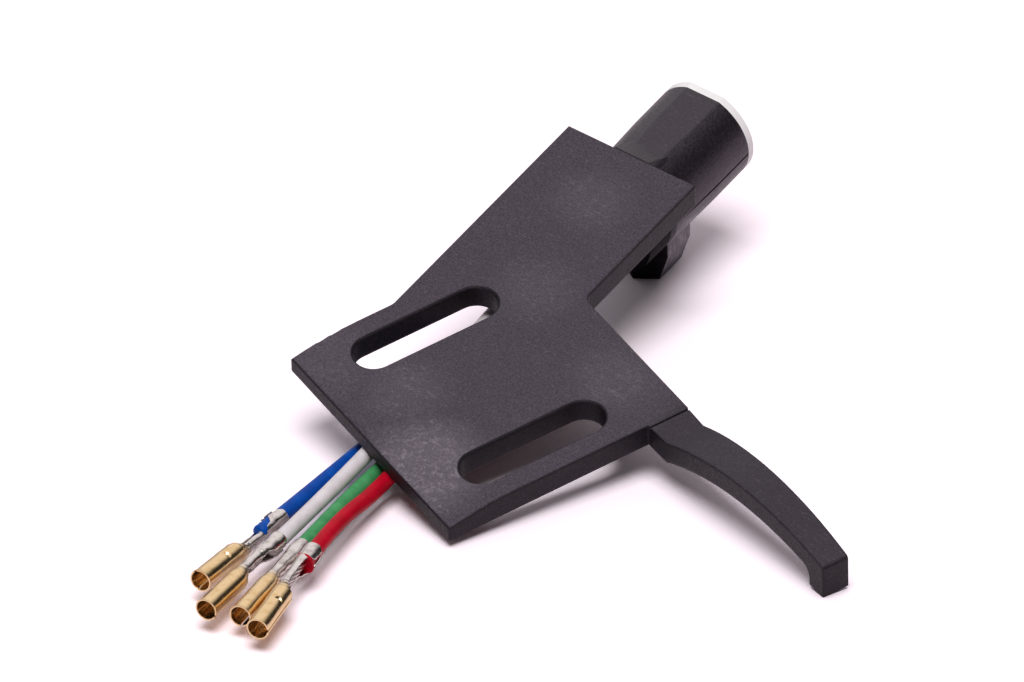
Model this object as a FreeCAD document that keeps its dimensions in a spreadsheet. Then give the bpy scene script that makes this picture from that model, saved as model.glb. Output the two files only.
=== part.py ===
"""Turntable headshell with its four colour-coded leads and their push-on clips.

Millimetres. The origin is on the axis of the neck tube, at the tube's rear end. +Y runs rearward
along the neck, +X points to the finger-lift side, +Z is up, and the plate lies level.
"""
import FreeCAD
import Part
import Sketcher
import math
import os

Vector = FreeCAD.Vector
Rotation = FreeCAD.Rotation
Placement = FreeCAD.Placement

SIZES = {
    # plate: measured from the point midway between the two slots
    "offset_angle": 21.5,
    "slot_mid_x": 3.85,
    "slot_mid_forward": 31.76,
    "slot_spacing": 12.7,
    "slot_width": 2.9,
    "slot_length": 10.8,
    "plate_width": 18.8,
    "plate_front": 8.5,
    "plate_rear": 10.07,
    "plate_thick": 1.74,
    "plate_bottom": 2.75,
    "front_droop": 0.6,
    "front_curve": 5.0,
    "junction_round": 0.8,
    "edge_round": 0.15,
    # neck plate and the tube below it
    "neck_width": 10.2,
    "neck_rear": 8.76,
    "tube_radius": 3.65,
    "tube_straight": 4.1,
    "tube_length": 11.76,
    "root_radius": 3.45,
    "tube_flat": 3.42,
    "bore_radius": 2.65,
    "rim_thick": 0.55,
    "seam_height": 0.14,
    "seam_depth": 0.1,
    "ramp_length": 2.0,
    "ramp_width": 2.8,
    "ramp_sink": 0.9,
    "hex_across": 4.5,
    "hex_forward": 6.76,
    "hex_depth": 6.87,
    "hex_taper": 2.48,
    "hex_inset": 0.74,
    # finger lift
    "lift_place": 8.48,
    "lift_width": 3.0,
    "lift_tip_width": 1.96,
    "lift_reach": 19.4,
    "lift_apex": 14.8,
    "lift_rise": 3.31,
    "lift_arch": 26.4,
    "lift_thick": 1.5,
    "lift_tip_height": 1.97,
    "lift_root": 1.0,
    "lift_fillet": 0.9,
    "lift_edge": 0.25,
    "joint_place": 0.15,
    "joint_width": 0.15,
    "joint_depth": 0.15,
    # terminal block and its pins
    "fit_gap": 0.03,
    "terminal_front": 10.26,
    "pin_radius": 0.45,
    "pin_spacing": 2.4,
    "pin_tip": 1.2,
    "pin_bevel": 0.25,
    "pin_tail": 1.0,
    # leads and clips
    "lead_radius": 0.53,
    "strand_radius": 0.3,
    "strand_reach": 2.1,
    "clip_sheet": 0.12,
    "clip_gap": 0.025,
    "barrel_radius": 0.74,
    "barrel_length": 4.2,
    "barrel_seam": 0.14,
    "spine_width": 0.9,
    "clip_length": 9.6,
    "cover_crimp": 1.5,
    "wire_crimp": 1.4,
    "wire_crimp_place": 5.5,
    "lead_stub": 0.9,
}

# Each lead: the side of its pin in X and in Z, the roll of its clip about its own axis, and the
# route from the pin's tail. The first run is in line with the pin, and the last with the clip.
LEADS = {
    "blue": {
        "side": (-1, -1),
        "roll": 55.0,
        "route": [
            (-1.20, -11.26, -1.20), (-1.20, -22.0, -1.20), (-1.22, -36.5, 0.30), (-0.56, -50.01, 3.62),
        ],
    },
    "white": {
        "side": (-1, 1),
        "roll": 108.0,
        "route": [
            (-1.20, -11.26, 1.20), (-1.20, -22.0, 1.20), (-0.15, -37.8, 1.30), (1.41, -52.64, 4.70),
        ],
    },
    "green": {
        "side": (1, -1),
        "roll": 168.0,
        "route": [
            (1.20, -11.26, -1.20), (1.20, -22.0, -1.20), (1.05, -37.0, 1.00),
            (1.92, -45.69, 2.97), (3.13, -52.15, 4.69),
        ],
    },
    "red": {
        "side": (1, 1),
        "roll": 85.0,
        "route": [
            (1.20, -11.26, 1.20), (1.20, -26.0, 1.20), (2.62, -40.9, 1.90),
            (3.41, -47.36, 4.53), (4.72, -52.89, 5.67),
        ],
    },
}

# Share of the shorter run that each arc of a lead takes.
ARC_SHARE = 0.45
# Two places are the same within this.
TOLERANCE = 0.01

doc = FreeCAD.newDocument("headshell")
sheet = doc.addObject("Spreadsheet::Sheet", "Sizes")
for row, (alias, value) in enumerate(SIZES.items(), start=1):
    sheet.set("A%d" % row, alias)
    sheet.set("B%d" % row, str(value))
    sheet.setAlias("B%d" % row, alias)
doc.recompute()


def size(alias):
    """A driving dimension, read back from the sheet."""
    return float(sheet.get(alias))


def plane(body, role):
    """One of the body's own origin planes."""
    for feature in body.Origin.OriginFeatures:
        if feature.Role == role:
            return feature


def new_body(label):
    body = doc.addObject("PartDesign::Body", label)
    body.Label = label
    return body


def new_sketch(body, name, role, lift=None):
    """A sketch on an origin plane; lift is the expression for its distance along the plane's normal."""
    sketch = body.newObject("Sketcher::SketchObject", name)
    sketch.AttachmentSupport = [(plane(body, role), "")]
    sketch.MapMode = "FlatFace"
    if lift:
        sketch.setExpression("AttachmentOffset.Base.z", lift)
    return sketch


def line(sketch, start, end, construction=False):
    return sketch.addGeometry(Part.LineSegment(Vector(*start, 0), Vector(*end, 0)), construction)


def outline(sketch, points):
    """Closed run of straight lines through the points, joined end to end."""
    lines = [line(sketch, points[i], points[(i + 1) % len(points)]) for i in range(len(points))]
    for i, current in enumerate(lines):
        following = lines[(i + 1) % len(lines)]
        sketch.addConstraint(Sketcher.Constraint("Coincident", current, 2, following, 1))
    return lines


def dimension(sketch, name, expression, *constraint):
    """A named sketch dimension whose value follows the sheet."""
    index = sketch.addConstraint(Sketcher.Constraint(*constraint))
    sketch.renameConstraint(index, name)
    sketch.setExpression("Constraints." + name, expression)


def relate(sketch, *constraint):
    sketch.addConstraint(Sketcher.Constraint(*constraint))


def pad(body, name, sketch, length, reverse=False, symmetric=False):
    feature = body.newObject("PartDesign::Pad", name)
    feature.Profile = sketch
    feature.setExpression("Length", length)
    feature.Reversed = reverse
    feature.SideType = "Symmetric" if symmetric else "One side"
    doc.recompute()
    return feature


def pocket(body, name, sketch, length, reverse=False, symmetric=False):
    """A cut, which has to take some material away."""
    before = body.Shape.Volume
    feature = body.newObject("PartDesign::Pocket", name)
    feature.Profile = sketch
    feature.setExpression("Length", length)
    feature.Reversed = reverse
    feature.SideType = "Symmetric" if symmetric else "One side"
    doc.recompute()
    if body.Shape.Volume >= before:
        raise RuntimeError(name + " cut nothing")
    return feature


def circle(sketch, radius, centre=(0, 0)):
    return sketch.addGeometry(Part.Circle(Vector(*centre, 0), Vector(0, 0, 1), radius))


def round_edges(body, name, radius, chosen):
    """Fillet on the body's edges for which chosen(edge) is true."""
    base = body.Tip
    names = ["Edge%d" % (i + 1) for i, edge in enumerate(base.Shape.Edges) if chosen(edge)]
    feature = body.newObject("PartDesign::Fillet", name)
    feature.Base = (base, names)
    feature.setExpression("Radius", radius)
    doc.recompute()


def bevel_edges(body, name, width, chosen):
    """Chamfer on the body's edges for which chosen(edge) is true."""
    base = body.Tip
    names = ["Edge%d" % (i + 1) for i, edge in enumerate(base.Shape.Edges) if chosen(edge)]
    feature = body.newObject("PartDesign::Chamfer", name)
    feature.Base = (base, names)
    feature.setExpression("Size", width)
    doc.recompute()


def to_plate(x, y):
    """A point of the part's frame in the plate's frame: x to the lift, y rearward along the slots."""
    turn = math.radians(size("offset_angle"))
    right = x - size("slot_mid_x")
    back = y + size("slot_mid_forward")
    return (
        right * math.cos(turn) - back * math.sin(turn),
        right * math.sin(turn) + back * math.cos(turn),
    )


def plate_outline(body):
    """Slotted front part and the neck, which leaves it at the offset angle."""
    sketch = new_sketch(body, "PlateOutline", "XY_Plane")
    half = size("plate_width") / 2
    front = size("plate_front")
    rear = size("plate_rear")
    side = size("neck_width") / 2
    neck_rear = -size("neck_rear")
    slope = math.tan(math.radians(size("offset_angle")))
    rear_left = to_plate(-side, neck_rear)
    rear_right = to_plate(side, neck_rear)
    left_joint = (-half, rear_left[1] - (rear_left[0] + half) / -slope)
    right_joint = (rear_right[0] + (rear_right[1] - rear) * slope, rear)
    lines = outline(sketch, [
        rear_left, rear_right, right_joint, (half, rear), (half, -front), (-half, -front), left_joint,
    ])
    rear_edge, neck_right, rear_step, near_side, front_edge, left_side, neck_left = lines
    axis = line(sketch, to_plate(0, -size("slot_mid_forward")), to_plate(0, neck_rear), True)
    turn = "Sizes.offset_angle"
    run = "(Sizes.slot_mid_forward - Sizes.neck_rear)"
    foot = to_plate(0, -size("slot_mid_forward"))
    head = to_plate(0, neck_rear)
    dimension(sketch, "axisFootX", "Sizes.slot_mid_x * cos(%s)" % turn, "DistanceX", axis, 1, -1, 1, -foot[0])
    dimension(sketch, "axisFootY", "Sizes.slot_mid_x * sin(%s)" % turn, "DistanceY", axis, 1, -1, 1, -foot[1])
    dimension(sketch, "axisHeadX", "Sizes.slot_mid_x * cos(%s) + %s * sin(%s)" % (turn, run, turn),
              "DistanceX", axis, 2, -1, 1, -head[0])
    dimension(sketch, "axisHeadY", "%s * cos(%s) - Sizes.slot_mid_x * sin(%s)" % (run, turn, turn),
              "DistanceY", -1, 1, axis, 2, head[1])
    relate(sketch, "Symmetric", rear_edge, 1, rear_edge, 2, axis, 2)
    relate(sketch, "Perpendicular", rear_edge, axis)
    relate(sketch, "Parallel", neck_right, axis)
    relate(sketch, "Parallel", neck_left, axis)
    relate(sketch, "Horizontal", rear_step)
    relate(sketch, "Vertical", near_side)
    relate(sketch, "Horizontal", front_edge)
    relate(sketch, "Vertical", left_side)
    dimension(sketch, "neckWidth", "Sizes.neck_width", "Distance", rear_edge, 1, rear_edge, 2, 2 * side)
    dimension(sketch, "nearSide", "Sizes.plate_width / 2", "DistanceX", -1, 1, near_side, 1, half)
    dimension(sketch, "leftSide", "Sizes.plate_width / 2", "DistanceX", left_side, 1, -1, 1, half)
    dimension(sketch, "rearStep", "Sizes.plate_rear", "DistanceY", -1, 1, rear_step, 1, rear)
    dimension(sketch, "frontEdge", "Sizes.plate_front", "DistanceY", front_edge, 1, -1, 1, front)
    pad(body, "PlateBlank", sketch, "Sizes.plate_thick")
    corners = (left_joint, right_joint)
    round_edges(body, "JunctionRound", "Sizes.junction_round",
                lambda edge: any(is_upright(edge, corner) for corner in corners))


def is_upright(edge, place):
    """True for a vertical edge that stands at the given place in the plate's plan."""
    ends = [vertex.Point for vertex in edge.Vertexes]
    if len(ends) != 2:
        return False
    return all(math.hypot(end.x - place[0], end.y - place[1]) < TOLERANCE for end in ends)


def is_top_rim(edge):
    """True for the edges where the plate's top turns down into a side."""
    top = size("plate_thick")
    box = edge.BoundBox
    drop = size("front_droop") + TOLERANCE
    if box.ZMin < top - drop or box.ZLength > drop:
        return False
    if box.ZLength > TOLERANCE:
        return True
    return not is_curve_start(edge)


def is_curve_start(edge):
    """True for the line across the plate where the front curve begins."""
    start = size("front_curve") - size("plate_front")
    return all(abs(vertex.Y - start) < TOLERANCE for vertex in edge.Vertexes)


def front_curve(body):
    """The top falls away towards the front edge in a long arc."""
    sketch = new_sketch(body, "FrontCurve", "YZ_Plane")
    top = size("plate_thick")
    front = -size("plate_front")
    start = front + size("front_curve")
    drop = size("front_droop")
    radius = (size("front_curve") ** 2 + drop ** 2) / (2 * drop)
    level = line(sketch, (start, top), (front, top))
    face = line(sketch, (front, top), (front, top - drop))
    low = math.pi / 2 + math.asin(size("front_curve") / radius)
    arc = sketch.addGeometry(Part.ArcOfCircle(
        Part.Circle(Vector(start, top - radius, 0), Vector(0, 0, 1), radius), math.pi / 2, low))
    relate(sketch, "Coincident", level, 2, face, 1)
    relate(sketch, "Coincident", face, 2, arc, 2)
    relate(sketch, "Coincident", arc, 1, level, 1)
    relate(sketch, "Horizontal", level)
    relate(sketch, "Vertical", face)
    relate(sketch, "Vertical", arc, 1, arc, 3)
    dimension(sketch, "curveStart", "Sizes.plate_front - Sizes.front_curve",
              "DistanceX", level, 1, -1, 1, -start)
    dimension(sketch, "curveTop", "Sizes.plate_thick", "DistanceY", -1, 1, level, 1, top)
    dimension(sketch, "curveRun", "Sizes.front_curve", "DistanceX", level, 2, level, 1, size("front_curve"))
    dimension(sketch, "curveDrop", "Sizes.front_droop", "DistanceY", face, 2, face, 1, drop)
    pocket(body, "FrontDroop", sketch, "2 * Sizes.plate_width", symmetric=True)


def is_slot_rim(edge):
    """True for the edges where the plate's top turns down into a slot."""
    middle = edge.BoundBox.Center
    across = abs(abs(middle.x) - size("slot_spacing") / 2)
    beside = across < size("slot_width") / 2 + TOLERANCE
    within = abs(middle.y) < size("slot_length") / 2 + TOLERANCE
    return beside and within and is_top_rim(edge)


def cartridge_slots(body):
    """One slot on the lift side and its mirror on the other."""
    sketch = new_sketch(body, "SlotOutline", "XY_Plane")
    middle = size("slot_spacing") / 2
    radius = size("slot_width") / 2
    half = size("slot_length") / 2 - radius
    right = line(sketch, (middle + radius, -half), (middle + radius, half))
    left = line(sketch, (middle - radius, half), (middle - radius, -half))
    rear = sketch.addGeometry(Part.ArcOfCircle(
        Part.Circle(Vector(middle, half, 0), Vector(0, 0, 1), radius), 0, math.pi))
    front = sketch.addGeometry(Part.ArcOfCircle(
        Part.Circle(Vector(middle, -half, 0), Vector(0, 0, 1), radius), math.pi, 2 * math.pi))
    relate(sketch, "Tangent", right, 2, rear, 1)
    relate(sketch, "Tangent", rear, 2, left, 1)
    relate(sketch, "Tangent", left, 2, front, 1)
    relate(sketch, "Tangent", front, 2, right, 1)
    relate(sketch, "Vertical", right)
    relate(sketch, "Symmetric", rear, 3, front, 3, -1)
    run = "Sizes.slot_length - Sizes.slot_width"
    dimension(sketch, "slotPlace", "Sizes.slot_spacing / 2", "DistanceX", -1, 1, rear, 3, middle)
    dimension(sketch, "slotRadius", "Sizes.slot_width / 2", "Radius", rear, radius)
    dimension(sketch, "slotRun", run, "DistanceY", front, 3, rear, 3, 2 * half)
    cut = pocket(body, "LiftSideSlot", sketch, "Sizes.plate_thick", reverse=True)
    mirror = body.newObject("PartDesign::Mirrored", "FarSideSlot")
    mirror.Originals = [cut]
    mirror.MirrorPlane = (plane(body, "YZ_Plane"), [""])
    body.Tip = mirror
    doc.recompute()
    bevel_edges(body, "SlotBevel", "Sizes.edge_round", is_slot_rim)


def finger_lift(body):
    """Arched bar with a turned-down tip, tapering in plan from the plate to the tip."""
    centre_line = "-Sizes.lift_place"
    sketch = new_sketch(body, "LiftProfile", "XZ_Plane", centre_line)
    side = size("plate_width") / 2
    top = size("plate_thick")
    inner = side - size("lift_root")
    end = side + size("lift_reach")
    middle = side + size("lift_apex")
    outer_radius = size("lift_arch")
    inner_radius = outer_radius - size("lift_thick")
    height = top + size("lift_rise") - outer_radius
    tip = size("lift_tip_height")
    neck = end - size("lift_thick")

    def on_arc(radius, level):
        return middle - math.sqrt(radius ** 2 - (level - height) ** 2)

    def arc_height(radius, place):
        return height + math.sqrt(radius ** 2 - (place - middle) ** 2)

    def bearing(place, level):
        return math.atan2(level - height, place - middle)

    top_start = (on_arc(outer_radius, top), top)
    tip_top = (end, arc_height(outer_radius, end))
    tip_inner = (neck, arc_height(inner_radius, neck))
    low_start = (on_arc(inner_radius, 0), 0)
    root_top = line(sketch, (inner, top), top_start)
    outer_arc = sketch.addGeometry(Part.ArcOfCircle(
        Part.Circle(Vector(middle, height, 0), Vector(0, 0, 1), outer_radius),
        bearing(*tip_top), bearing(*top_start)))
    tip_face = line(sketch, tip_top, (end, tip))
    tip_foot = line(sketch, (end, tip), (neck, tip))
    tip_back = line(sketch, (neck, tip), tip_inner)
    inner_arc = sketch.addGeometry(Part.ArcOfCircle(
        Part.Circle(Vector(middle, height, 0), Vector(0, 0, 1), inner_radius),
        bearing(*tip_inner), bearing(*low_start)))
    root_low = line(sketch, low_start, (inner, 0))
    root_end = line(sketch, (inner, 0), (inner, top))
    joints = [
        (root_top, 2, outer_arc, 2), (outer_arc, 1, tip_face, 1), (tip_face, 2, tip_foot, 1),
        (tip_foot, 2, tip_back, 1), (tip_back, 2, inner_arc, 1), (inner_arc, 2, root_low, 1),
        (root_low, 2, root_end, 1), (root_end, 2, root_top, 1), (outer_arc, 3, inner_arc, 3),
    ]
    for joint in joints:
        relate(sketch, "Coincident", *joint)
    for level in (root_top, tip_foot, root_low):
        relate(sketch, "Horizontal", level)
    for upright in (tip_face, tip_back, root_end):
        relate(sketch, "Vertical", upright)
    relate(sketch, "PointOnObject", root_low, 1, -1)
    dimension(sketch, "apexPlace", "Sizes.plate_width / 2 + Sizes.lift_apex", "DistanceX",
              -1, 1, outer_arc, 3, middle)
    dimension(sketch, "apexDepth", "Sizes.lift_arch - Sizes.lift_rise - Sizes.plate_thick", "DistanceY",
              outer_arc, 3, -1, 1, -height)
    dimension(sketch, "archRadius", "Sizes.lift_arch", "Radius", outer_arc, outer_radius)
    dimension(sketch, "underRadius", "Sizes.lift_arch - Sizes.lift_thick", "Radius", inner_arc, inner_radius)
    dimension(sketch, "rootTop", "Sizes.plate_thick", "DistanceY", -1, 1, root_top, 1, top)
    dimension(sketch, "rootPlace", "Sizes.plate_width / 2 - Sizes.lift_root", "DistanceX",
              -1, 1, root_end, 1, inner)
    dimension(sketch, "tipPlace", "Sizes.plate_width / 2 + Sizes.lift_reach", "DistanceX",
              -1, 1, tip_face, 1, end)
    dimension(sketch, "tipThick", "Sizes.lift_thick",
              "DistanceX", tip_foot, 2, tip_foot, 1, size("lift_thick"))
    dimension(sketch, "tipHeight", "Sizes.lift_tip_height", "DistanceY", -1, 1, tip_foot, 1, tip)
    pad(body, "LiftBar", sketch, "Sizes.lift_width", symmetric=True)
    lift_taper(body)
    lift_joint(body)
    round_edges(body, "TipFillet", "Sizes.lift_fillet", lambda edge: is_across(edge, tip_inner))
    round_edges(body, "TipEdge", "Sizes.lift_edge", lambda edge: is_across(edge, tip_top))


def is_across(edge, place):
    """True for an edge across the lift that stands at the given place in the lift's profile."""
    ends = [vertex.Point for vertex in edge.Vertexes]
    return all(math.hypot(end.x - place[0], end.z - place[1]) < TOLERANCE for end in ends)


def lift_joint(body):
    """Fine groove across the lift's root, where it leaves the plate."""
    sketch = new_sketch(body, "JointOutline", "XZ_Plane", "-Sizes.lift_place")
    start = size("plate_width") / 2 + size("joint_place")
    end = start + size("joint_width")
    top = size("plate_thick")
    floor = top - size("joint_depth")
    foot, right, head, left = outline(sketch, [
        (start, floor), (end, floor), (end, 2 * top), (start, 2 * top),
    ])
    for level in (foot, head):
        relate(sketch, "Horizontal", level)
    for upright in (right, left):
        relate(sketch, "Vertical", upright)
    dimension(sketch, "start", "Sizes.plate_width / 2 + Sizes.joint_place",
              "DistanceX", -1, 1, foot, 1, start)
    dimension(sketch, "width", "Sizes.joint_width", "DistanceX", foot, 1, foot, 2, end - start)
    dimension(sketch, "floor", "Sizes.plate_thick - Sizes.joint_depth", "DistanceY", -1, 1, foot, 1, floor)
    dimension(sketch, "head", "2 * Sizes.plate_thick", "DistanceY", -1, 1, head, 1, 2 * top)
    pocket(body, "LiftJoint", sketch, "2 * Sizes.lift_width", symmetric=True)


def lift_taper(body):
    """Wedges taken off both flanks of the lift, so that it narrows towards the tip."""
    sketch = new_sketch(body, "LiftTaper", "XY_Plane")
    start = size("plate_width") / 2
    end = start + size("lift_reach")
    for flank, sign in (("Rear", 1), ("Front", -1)):
        wide = size("lift_place") + sign * size("lift_width") / 2
        narrow = size("lift_place") + sign * size("lift_tip_width") / 2
        edge, cut, slope = outline(sketch, [(start, wide), (end, wide), (end, narrow)])
        relate(sketch, "Horizontal", edge)
        relate(sketch, "Vertical", cut)
        step = "Sizes.lift_place %s Sizes.lift_width / 2" % ("+" if sign > 0 else "-")
        dimension(sketch, "start" + flank, "Sizes.plate_width / 2", "DistanceX", -1, 1, edge, 1, start)
        dimension(sketch, "end" + flank, "Sizes.plate_width / 2 + Sizes.lift_reach", "DistanceX",
                  -1, 1, edge, 2, end)
        dimension(sketch, "wide" + flank, step, "DistanceY", -1, 1, edge, 1, wide)
        ends = (cut, 2, cut, 1) if sign > 0 else (cut, 1, cut, 2)
        dimension(sketch, "taper" + flank, "(Sizes.lift_width - Sizes.lift_tip_width) / 2", "DistanceY",
                  *ends, abs(wide - narrow))
    pocket(body, "LiftFlanks", sketch, "4 * (Sizes.plate_thick + Sizes.lift_rise)", symmetric=True)


def make_plate():
    body = new_body("plate")
    plate_outline(body)
    front_curve(body)
    round_edges(body, "TopRound", "Sizes.edge_round", is_top_rim)
    cartridge_slots(body)
    finger_lift(body)
    body.Placement = Placement(Vector(), Rotation(Vector(0, 0, -1), size("offset_angle")))
    body.setExpression("Placement.Base.x", "Sizes.slot_mid_x")
    body.setExpression("Placement.Base.y", "-Sizes.slot_mid_forward")
    body.setExpression("Placement.Base.z", "Sizes.plate_bottom")
    doc.recompute()
    return body


# Corners of the stud's section: to which side, and rearward or forward.
HEX_CORNERS = [(0, 1), (1, 1), (1, -1), (0, -1), (-1, -1), (-1, 1)]


def hexagon(sketch, inset=None):
    """Six sides about the stud's vertical axis, two along the neck and closer by the inset."""
    half_rule = "Sizes.hex_across / 2"
    half = size("hex_across") / 2
    if inset:
        half_rule += " - Sizes." + inset
        half -= size(inset)
    side_rule = "Sizes.hex_across / (2 * sqrt(3))"
    side = size("hex_across") / (2 * math.sqrt(3))
    points = []
    rules = []
    for across, back in HEX_CORNERS:
        point = 0 if across else half / math.sqrt(3)
        points.append((half * across, back * (side + point) - size("hex_forward")))
        reach = side_rule if across else "(%s + (%s) / sqrt(3))" % (side_rule, half_rule)
        rules.append("Sizes.hex_forward %s %s" % ("-" if back > 0 else "+", reach))
    lines = outline(sketch, points)
    for number, (current, point, rule) in enumerate(zip(lines, points, rules)):
        across = HEX_CORNERS[number][0]
        if across:
            ends = (-1, 1, current, 1) if across > 0 else (current, 1, -1, 1)
            dimension(sketch, "across%d" % number, half_rule, "DistanceX", *ends, half)
        else:
            relate(sketch, "PointOnObject", current, 1, -2)
        dimension(sketch, "forward%d" % number, rule, "DistanceY", current, 1, -1, 1, -point[1])


def hex_stud(body):
    """Hexagonal stud under the tube, with a tapered end."""
    shoulder = "Sizes.hex_taper - Sizes.hex_depth"
    upper = new_sketch(body, "StudSection", "XY_Plane", shoulder)
    hexagon(upper)
    pad(body, "Stud", upper, "Sizes.hex_depth - Sizes.hex_taper")
    start = new_sketch(body, "StudShoulder", "XY_Plane", shoulder)
    hexagon(start)
    foot = new_sketch(body, "StudFoot", "XY_Plane", "-Sizes.hex_depth")
    hexagon(foot, "hex_inset")
    doc.recompute()
    taper = body.newObject("PartDesign::AdditiveLoft", "StudTaper")
    taper.Profile = start
    taper.Sections = [foot]
    taper.Ruled = True
    doc.recompute()


def flat_cut(body, name, lift, length):
    """Flat along the top of the tube, or of the rim behind it."""
    sketch = new_sketch(body, name + "Outline", "XZ_Plane", lift)
    low = size("tube_flat")
    half = size("tube_radius")
    foot, right, head, left = outline(sketch, [
        (-half, low), (half, low), (half, 2 * half), (-half, 2 * half),
    ])
    for level in (foot, head):
        relate(sketch, "Horizontal", level)
    for upright in (right, left):
        relate(sketch, "Vertical", upright)
    dimension(sketch, "flat", "Sizes.tube_flat", "DistanceY", -1, 1, foot, 1, low)
    dimension(sketch, "rightEdge", "Sizes.tube_radius", "DistanceX", -1, 1, foot, 2, half)
    dimension(sketch, "leftEdge", "Sizes.tube_radius", "DistanceX", foot, 1, -1, 1, half)
    dimension(sketch, "headEdge", "2 * Sizes.tube_radius", "DistanceY", -1, 1, head, 1, 2 * half)
    pocket(body, name, sketch, length, reverse=True)


def round_section(body, name, lift, expression, radius):
    sketch = new_sketch(body, name, "XZ_Plane", lift)
    ring = circle(sketch, radius)
    relate(sketch, "Coincident", ring, 3, -1, 1)
    dimension(sketch, "radius", expression, "Radius", ring, radius)
    return sketch


def plate_ramp(body):
    """Small ramp from the plate's rear edge down to the tube's flat."""
    sketch = new_sketch(body, "RampProfile", "YZ_Plane")
    rear = -size("neck_rear")
    top = size("plate_bottom") + size("plate_thick")
    low = size("tube_flat") - size("ramp_sink")
    toe = rear + size("ramp_length")
    back, floor, heel, slope = outline(sketch, [
        (rear, top), (rear, low), (toe, low), (toe, size("tube_flat")),
    ])
    relate(sketch, "Vertical", back)
    relate(sketch, "Horizontal", floor)
    relate(sketch, "Vertical", heel)
    dimension(sketch, "rear", "Sizes.neck_rear", "DistanceX", back, 1, -1, 1, -rear)
    dimension(sketch, "top", "Sizes.plate_bottom + Sizes.plate_thick", "DistanceY", -1, 1, back, 1, top)
    dimension(sketch, "low", "Sizes.tube_flat - Sizes.ramp_sink", "DistanceY", -1, 1, back, 2, low)
    dimension(sketch, "run", "Sizes.ramp_length", "DistanceX", floor, 1, floor, 2, size("ramp_length"))
    dimension(sketch, "toe", "Sizes.tube_flat", "DistanceY", -1, 1, heel, 2, size("tube_flat"))
    pad(body, "Ramp", sketch, "Sizes.ramp_width", symmetric=True)


def tube_blank(body):
    """Round tube, straight as far as the socket grips it and tapering under the plate."""
    sketch = new_sketch(body, "TubeProfile", "YZ_Plane")
    rear = -size("rim_thick")
    shoulder = -size("tube_straight")
    front = -size("tube_length")
    radius = size("tube_radius")
    root = size("root_radius")
    axis, end, taper, side, back = outline(sketch, [
        (rear, 0), (front, 0), (front, root), (shoulder, radius), (rear, radius),
    ])
    relate(sketch, "PointOnObject", axis, 1, -1)
    relate(sketch, "Horizontal", axis)
    relate(sketch, "Vertical", end)
    relate(sketch, "Horizontal", side)
    relate(sketch, "Vertical", back)
    dimension(sketch, "rear", "Sizes.rim_thick", "DistanceX", axis, 1, -1, 1, -rear)
    dimension(sketch, "front", "Sizes.tube_length", "DistanceX", axis, 2, -1, 1, -front)
    dimension(sketch, "shoulder", "Sizes.tube_straight", "DistanceX", taper, 2, -1, 1, -shoulder)
    dimension(sketch, "radius", "Sizes.tube_radius", "DistanceY", back, 2, back, 1, radius)
    dimension(sketch, "root", "Sizes.root_radius", "DistanceY", end, 1, end, 2, root)
    turned = body.newObject("PartDesign::Revolution", "Tube")
    turned.Profile = sketch
    turned.ReferenceAxis = (sketch, ["H_Axis"])
    turned.Angle = 360
    doc.recompute()


def parting_seam(body):
    """Fine groove along both flanks of the tube, where the halves of the mould met."""
    sketch = new_sketch(body, "SeamOutline", "XZ_Plane", "Sizes.rim_thick")
    half = size("seam_height") / 2
    inner = size("tube_radius") - size("seam_depth")
    outer = 2 * size("tube_radius")
    for flank, sign in (("Right", 1), ("Left", -1)):
        foot, rise, head, fall = outline(sketch, [
            (sign * inner, -half), (sign * outer, -half), (sign * outer, half), (sign * inner, half),
        ])
        for level in (foot, head):
            relate(sketch, "Horizontal", level)
        for upright in (rise, fall):
            relate(sketch, "Vertical", upright)
        near = (-1, 1, foot, 1) if sign > 0 else (foot, 1, -1, 1)
        far = (-1, 1, foot, 2) if sign > 0 else (foot, 2, -1, 1)
        dimension(sketch, "inner" + flank, "Sizes.tube_radius - Sizes.seam_depth", "DistanceX", *near, inner)
        dimension(sketch, "outer" + flank, "2 * Sizes.tube_radius", "DistanceX", *far, outer)
        dimension(sketch, "low" + flank, "Sizes.seam_height / 2", "DistanceY", foot, 1, -1, 1, half)
        dimension(sketch, "high" + flank, "Sizes.seam_height / 2", "DistanceY", -1, 1, head, 1, half)
    pocket(body, "Seam", sketch, "Sizes.tube_length - Sizes.rim_thick", reverse=True)


def make_tube():
    """Neck tube, its top flat, the stud under it and the bore for the terminal block."""
    body = new_body("neck_tube")
    tube_blank(body)
    flat_cut(body, "TubeFlat", "Sizes.rim_thick", "Sizes.neck_rear - Sizes.rim_thick")
    parting_seam(body)
    hex_stud(body)
    plate_ramp(body)
    bore = round_section(body, "BoreSection", "Sizes.rim_thick", "Sizes.bore_radius", size("bore_radius"))
    pocket(body, "Bore", bore, "Sizes.tube_length - Sizes.rim_thick", reverse=True)
    return body


def make_headshell():
    """Plate, finger lift, tube and stud are one moulding."""
    moulding = doc.addObject("Part::Fuse", "headshell_body")
    moulding.Base = make_plate()
    moulding.Tool = make_tube()
    moulding.Refine = True
    moulding.Label = "headshell_body"
    doc.recompute()
    return moulding


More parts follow.
